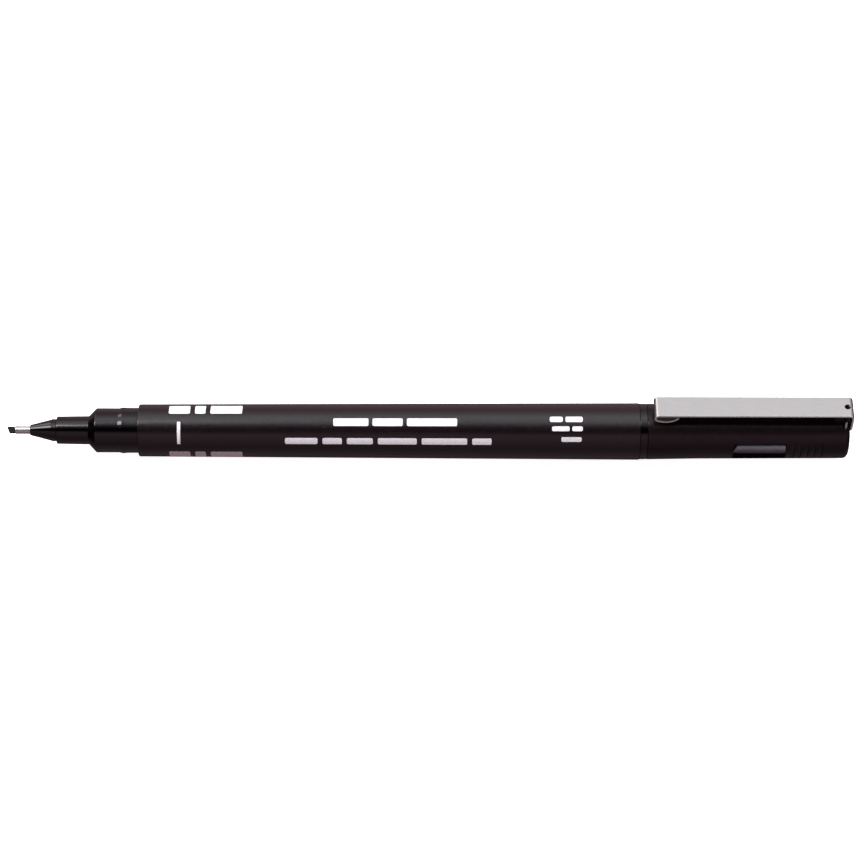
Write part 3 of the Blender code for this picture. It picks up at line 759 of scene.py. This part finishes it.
def make_clip():
    """Bent strip, from the hook in the cap's slot over the rear bend to the foot."""
    arm_height = CLIP_HEIGHT - CLIP_THICKNESS / 2
    tab_station = CLIP_REAR - CLIP_THICKNESS / 2
    hook_height = CLIP_HOOK_BOTTOM + CLIP_HOOK_BEND
    tab_top = arm_height - CLIP_REAR_BEND
    arm_rear = tab_station - CLIP_REAR_BEND
    arm_front = CLIP_FRONT + CLIP_THICKNESS / 2 + CLIP_FRONT_BEND
    path = strip_path(
        (CLIP_HOOK_TOP, tab_station - 2 * CLIP_HOOK_BEND), -RIGHT_ANGLE, [
            (CLIP_HOOK_TOP - hook_height, -math.pi, CLIP_HOOK_BEND),
            (tab_top - hook_height, -RIGHT_ANGLE, CLIP_REAR_BEND),
            (arm_rear - arm_front, -RIGHT_ANGLE, CLIP_FRONT_BEND),
            (CLIP_FRONT_DROP, -CLIP_FOOT_TURN, CLIP_FOOT_BEND),
            (0.0, -CLIP_BOW_TURN, CLIP_BOW_RADIUS),
        ])
    section = strip_section()
    shape = bmesh.new()
    rows = []
    for (height, station), heading in path:
        row = []
        for across, outward in section:
            row.append(shape.verts.new((height + outward * math.cos(heading), across,
                                        station - outward * math.sin(heading))))
        rows.append(row)
    for first, second in zip(rows, rows[1:]):
        for index in range(len(section)):
            following = (index + 1) % len(section)
            shape.faces.new((first[index], first[following], second[following], second[index]))
    shape.faces.new(rows[0])
    shape.faces.new(rows[-1])
    hole = bmesh.new()
    verts = rod_shape(hole, CLIP_HOLE_RADIUS, -1.0, 1.0, (0.0, 0.0))
    place = Matrix.Translation((arm_height, 0.0, CLIP_HOLE_STATION))
    bmesh.ops.transform(hole, matrix=place @ Matrix.Rotation(RIGHT_ANGLE, 4, "Y"), verts=verts)
    strip = carved(shape, ("DIFFERENCE", hole))
    # Side-edge faces take the second material, the steel with the painted highlight.
    for face in strip.faces:
        face.normal_update()
        if abs(face.normal.y) > EDGE_FACING and abs(face.calc_center_median().y) > CLIP_WIDTH / 3:
            face.material_index = 1
    piece("clip_strip", strip, clip_metal, "clip", "clip",
          second_material=clip_edge_painted_glint)


def barrel_radius(station):
    share = (station - BARREL_FRONT) / (BARREL_REAR - BARREL_FRONT)
    return BARREL_FRONT_RADIUS + share * (BARREL_REAR_RADIUS - BARREL_FRONT_RADIUS)


def print_bar(shape, front, rear, low, high, corner=PRINT_CORNER):
    """Add one rounded bar of print, wrapped on the barrel between two angles."""
    low = math.radians(low)
    high = math.radians(high)
    radius = barrel_radius((front + rear) / 2)
    half_height = (high - low) * radius / 2
    corner = min(corner, half_height * CORNER_SHARE, (rear - front) / 2 * CORNER_SHARE)
    columns = []
    for step in range(CORNER_STEPS + 1):
        angle = RIGHT_ANGLE * step / CORNER_STEPS
        columns.append((front + corner * (1 - math.cos(angle)),
                        half_height - corner * (1 - math.sin(angle))))
    columns += [(front + rear - station, height) for station, height in reversed(columns)]
    rows = max(2, math.ceil((high - low) / PRINT_ANGLE_STEP))
    middle = (low + high) / 2
    layers = []
    for offset in (PRINT_PROUD, -PRINT_DEPTH):
        layer = []
        for station, height in columns:
            distance = barrel_radius(station) + offset
            line = []
            for row in range(rows + 1):
                angle = middle + (2 * row / rows - 1) * height / radius
                line.append(shape.verts.new((distance * math.sin(angle),
                                             distance * math.cos(angle), station)))
            layer.append(line)
        layers.append(layer)
    top, bottom = layers
    last = len(columns) - 1
    for column in range(last):
        for row in range(rows):
            for layer in layers:
                shape.faces.new((layer[column][row], layer[column + 1][row],
                                 layer[column + 1][row + 1], layer[column][row + 1]))
        for row in (0, rows):
            shape.faces.new((top[column][row], top[column + 1][row],
                             bottom[column + 1][row], bottom[column][row]))
    for column in (0, last):
        for row in range(rows):
            shape.faces.new((top[column][row], top[column][row + 1],
                             bottom[column][row + 1], bottom[column][row]))


def words(shape, front, rear, low, high, lengths, gap):
    """Add a line of bars whose lengths share out front..rear like words."""
    unit = (rear - front - gap * (len(lengths) - 1)) / sum(lengths)
    for length in lengths:
        print_bar(shape, front, front + length * unit, low, high)
        front += length * unit + gap


def make_print():
    """Generic bars in the places of the barrel's printing."""
    shape = bmesh.new()
    for turn in range(0, 360, REPEAT):
        front, rear, low, high, lengths, gap = SIZE_MARK
        words(shape, front, rear, low + turn, high + turn, lengths, gap)
        front, rear, low, high = SIZE_STROKE
        print_bar(shape, front, rear, low + turn, high + turn, corner=SIZE_STROKE_CORNER)
    for line in PRINT_LINES:
        words(shape, *line)
    piece("barrel_print", shape, white_ink, "pen")


make_nib()
make_front()
make_barrel()
make_cap()
make_clip()
make_print()

for node, material in (("inner_cap", liner_white), ("feed_wick", wick_fibre),
                       ("ink_reservoir", reservoir_fibre), ("reservoir_wrapper", film)):
    for material_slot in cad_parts[node].material_slots:
        material_slot.material = material


FLOOR_HALF_SIZE = 3.0             # metres
FLOOR_DARK = (0.86, 0.86, 0.86)
FLOOR_LIGHT = (0.90, 0.90, 0.90)
FLOOR_GLOW = 0.95


def make_floor():
    """Pale plain floor that the pen lies on, bright enough to run out to white."""
    shape = bmesh.new()
    bmesh.ops.create_grid(shape, x_segments=8, y_segments=8, size=FLOOR_HALF_SIZE)
    mesh = bpy.data.meshes.new("floor")
    shape.to_mesh(mesh)
    shape.free()
    nodes = Nodes("floor_paper")
    nodes.link(nodes.ramp(nodes.noise(4.0), (0.3, FLOOR_DARK), (0.7, FLOOR_LIGHT)), "Base Color")
    nodes.set(Roughness=0.9, Emission_Color=(1.0, 1.0, 1.0, 1.0), Emission_Strength=FLOOR_GLOW)
    mesh.materials.append(nodes.material)
    floor = bpy.data.objects.new("floor", mesh)
    bpy.context.scene.collection.objects.link(floor)
    floor.visible_diffuse = False
    floor.visible_glossy = False
    floor.visible_shadow = False


# Soft light all round the pen: (direction round the pen in degrees, brightness, tint).
WARM = (1.22, 0.86, 0.97)
COOL = (1.00, 0.97, 1.02)
STUDIO = (
    (-90, 0.10, WARM), (-71, 0.20, WARM), (-43, 0.22, WARM), (-20, 0.17, WARM), (0, 0.25, WARM),
    (13, 0.30, WARM), (29, 0.39, WARM), (37, 0.40, WARM), (45, 0.16, WARM), (51, 0.010, WARM),
    (66, 0.010, COOL), (75, 0.17, COOL), (85, 0.66, COOL), (91, 1.00, COOL), (100, 1.50, COOL),
    (110, 1.85, COOL), (118, 1.75, COOL), (126, 1.25, COOL), (135, 0.95, COOL),
    (150, 0.48, WARM), (171, 0.48, WARM), (185, 0.42, WARM), (213, 0.16, WARM),
    (240, 0.08, WARM), (269, 0.08, WARM))
STUDIO_PEAK = 2.0
STUDIO_ENDS = (0.60, 0.92)        # share of a direction along the pen where the light fades
STUDIO_END_LEVEL = 0.15
LOWEST = -90.0                    # the ramp starts straight down
WHITE_LEVEL = 1.05                # of the surroundings that the camera sees


def make_world():
    """Plain white surroundings, lit by a soft band of light over the pen."""
    world = bpy.data.worlds.new("studio")
    bpy.context.scene.world = world
    world.use_nodes = True
    tree = world.node_tree
    place = tree.nodes.new("ShaderNodeTexCoord").outputs["Generated"]
    split = tree.nodes.new("ShaderNodeSeparateXYZ")
    tree.links.new(place, split.inputs["Vector"])
    towards = tree.nodes.new("ShaderNodeMath")
    towards.operation = "MULTIPLY"
    towards.inputs[1].default_value = -1.0
    tree.links.new(split.outputs["Y"], towards.inputs[0])
    angle = tree.nodes.new("ShaderNodeMath")
    angle.operation = "ARCTAN2"
    tree.links.new(split.outputs["Z"], angle.inputs[0])
    tree.links.new(towards.outputs["Value"], angle.inputs[1])
    # The angle runs from -180 to 180 degrees. Adding 90 and wrapping starts it straight down.
    shifted = tree.nodes.new("ShaderNodeMath")
    shifted.operation = "ADD"
    shifted.inputs[1].default_value = -math.radians(LOWEST)
    tree.links.new(angle.outputs["Value"], shifted.inputs[0])
    wrapped = tree.nodes.new("ShaderNodeMath")
    wrapped.operation = "WRAP"
    wrapped.inputs[1].default_value = math.tau
    wrapped.inputs[2].default_value = 0.0
    tree.links.new(shifted.outputs["Value"], wrapped.inputs[0])
    share = tree.nodes.new("ShaderNodeMath")
    share.operation = "DIVIDE"
    share.inputs[1].default_value = math.tau
    tree.links.new(wrapped.outputs["Value"], share.inputs[0])
    ramp = tree.nodes.new("ShaderNodeValToRGB")
    elements = ramp.color_ramp.elements
    while len(elements) < len(STUDIO):
        elements.new(0.5)
    for element, (degrees, brightness, tint) in zip(elements, STUDIO):
        element.position = math.radians(degrees - LOWEST) / math.tau
        element.color = (*(brightness / STUDIO_PEAK * part for part in tint), 1.0)
    tree.links.new(share.outputs["Value"], ramp.inputs["Fac"])
    along = tree.nodes.new("ShaderNodeMath")
    along.operation = "ABSOLUTE"
    tree.links.new(split.outputs["X"], along.inputs[0])
    ends = tree.nodes.new("ShaderNodeMapRange")
    ends.interpolation_type = "SMOOTHSTEP"
    for name, value in (("From Min", STUDIO_ENDS[0]), ("From Max", STUDIO_ENDS[1]),
                        ("To Min", STUDIO_PEAK), ("To Max", STUDIO_END_LEVEL)):
        ends.inputs[name].default_value = value
    tree.links.new(along.outputs["Value"], ends.inputs["Value"])
    band = tree.nodes["Background"]
    tree.links.new(ends.outputs["Result"], band.inputs["Strength"])
    tree.links.new(ramp.outputs["Color"], band.inputs["Color"])
    white = tree.nodes.new("ShaderNodeBackground")
    white.inputs["Color"].default_value = (1.0, 1.0, 1.0, 1.0)
    white.inputs["Strength"].default_value = WHITE_LEVEL
    seen = tree.nodes.new("ShaderNodeLightPath")
    choice = tree.nodes.new("ShaderNodeMixShader")
    tree.links.new(seen.outputs["Is Camera Ray"], choice.inputs["Fac"])
    tree.links.new(band.outputs["Background"], choice.inputs[1])
    tree.links.new(white.outputs["Background"], choice.inputs[2])
    output = tree.nodes["World Output"]
    tree.links.new(choice.outputs["Shader"], output.inputs["Surface"])


LIGHT_DISTANCE = 1.5              # metres, like the sizes of the lights
SIDE_LIGHT_LENGTH = 1.40          # round the pen
SIDE_LIGHT_WIDTH = 0.42
SIDE_LIGHTS = (
    # direction, power
    (Vector((-0.59, 0.10, 0.80)), 17.0),
    (Vector((0.60, 0.05, 0.80)), 11.0),
)
BEND_LIGHT_SIZE = (0.90, 0.35)    # along the pen and across
BEND_LIGHT_DIRECTION = Vector((-0.62, 0.57, 0.55))
BEND_LIGHT_POWER = 3.0
BEND_LIGHT_COLOUR = (1.0, 0.90, 0.86)


def make_side_lights():
    """A soft box over each half of the pen, which lights the print."""
    for direction, power in SIDE_LIGHTS:
        light = bpy.data.lights.new("side_light", "AREA")
        light.shape = "RECTANGLE"
        light.size = SIDE_LIGHT_WIDTH
        light.size_y = SIDE_LIGHT_LENGTH
        light.energy = power
        lamp = bpy.data.objects.new("side_light", light)
        lamp.location = direction * LIGHT_DISTANCE
        lamp.rotation_euler = direction.to_track_quat("Z", "Y").to_euler()
        bpy.context.scene.collection.objects.link(lamp)


def make_bend_light():
    """A soft box past the nib and behind the pen, which the clip's front bend reflects."""
    light = bpy.data.lights.new("bend_light", "AREA")
    light.shape = "RECTANGLE"
    light.size, light.size_y = BEND_LIGHT_SIZE
    light.energy = BEND_LIGHT_POWER
    light.color = BEND_LIGHT_COLOUR
    lamp = bpy.data.objects.new("bend_light", light)
    lamp.location = BEND_LIGHT_DIRECTION * LIGHT_DISTANCE
    lamp.rotation_euler = BEND_LIGHT_DIRECTION.to_track_quat("Z", "Y").to_euler()
    bpy.context.scene.collection.objects.link(lamp)


CAMERA_ELEVATION = math.radians(55)
CAMERA_DISTANCE = 0.506
CAMERA_LENS = 114.4
CAMERA_STATION = 78.31            # seen in the middle of the picture
CAMERA_DROP = 0.28                # of the picture's middle below the pen's axis
CAMERA_ROLL = math.radians(0.13)


def make_camera():
    towards = Vector((0, -math.cos(CAMERA_ELEVATION), math.sin(CAMERA_ELEVATION)))
    upwards = Vector((0, math.sin(CAMERA_ELEVATION), math.cos(CAMERA_ELEVATION)))
    axis_point = Vector((TIP_X + CAMERA_STATION * MM, 0, AXIS_Z))
    target = axis_point - upwards * CAMERA_DROP * MM
    data = bpy.data.cameras.new("camera")
    data.lens = CAMERA_LENS
    data.clip_start = 0.01
    data.clip_end = 20.0
    camera = bpy.data.objects.new("camera", data)
    bpy.context.scene.collection.objects.link(camera)
    aim = (-towards).to_track_quat("-Z", "Y").to_matrix().to_4x4()
    camera.matrix_world = (Matrix.Translation(target + towards * CAMERA_DISTANCE) @ aim
                           @ Matrix.Rotation(CAMERA_ROLL, 4, "Z"))
    bpy.context.scene.camera = camera


make_floor()
make_world()
make_side_lights()
make_bend_light()
make_camera()
bpy.context.scene.view_settings.view_transform = "Standard"
